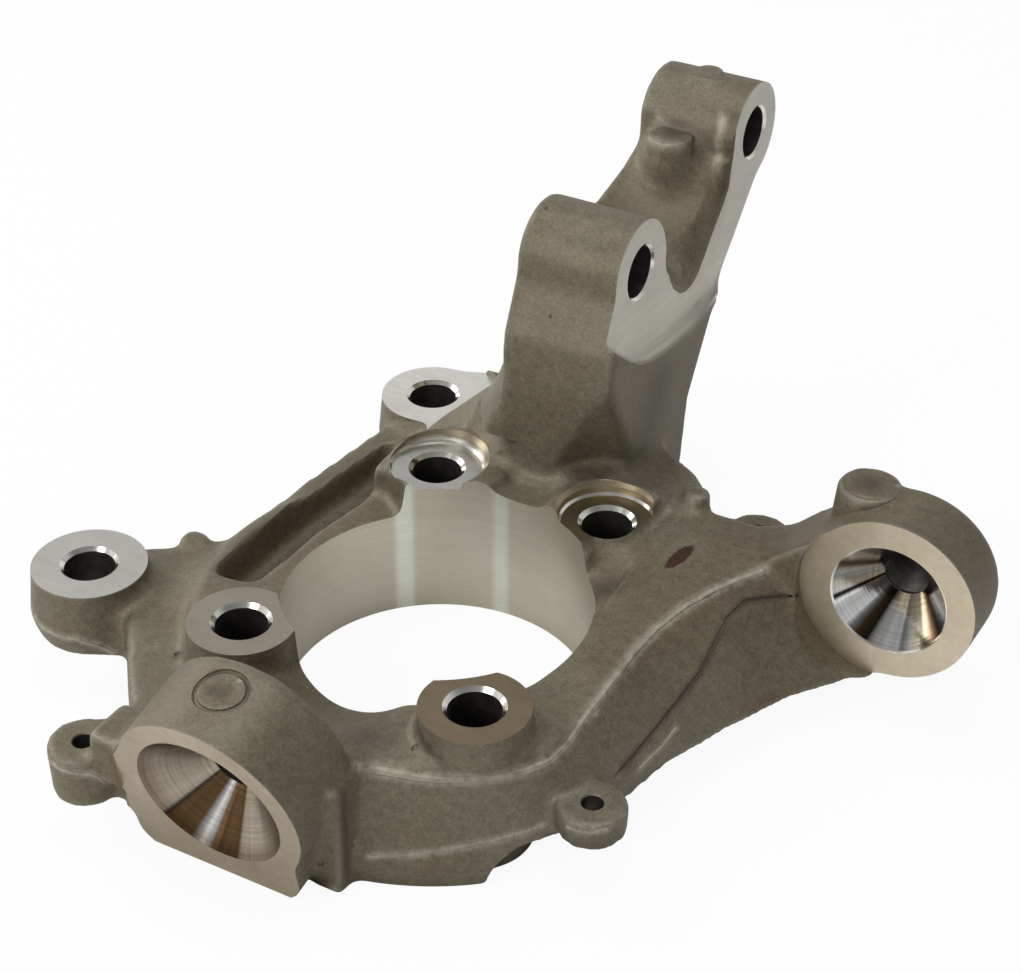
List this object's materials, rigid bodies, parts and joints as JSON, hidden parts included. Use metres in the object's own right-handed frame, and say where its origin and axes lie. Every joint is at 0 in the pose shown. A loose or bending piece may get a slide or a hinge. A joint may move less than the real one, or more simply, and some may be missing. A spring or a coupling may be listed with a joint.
{
  "type": "steering knuckle",
  "caption": "Cast and machined front steering knuckle: a bearing ring with a strut clamp arm, a steering arm, caliper ears and a ball joint seat.",
  "frame": {"origin": "on the axis of the hub bore, in the plane of the bearing face", "axes": "+Z along the bore towards the inboard side, +Y up to the strut clamp, +X to the tie rod seat"},
  "size_m": [0.2263, 0.2473, 0.121],
  "materials": {
    "cast_alloy": "sand-grey cast skin, bare machined faces"
  },
  "bodies": {
    "root": {"knuckle": "cast_alloy"}
  },
  "joints": []
}
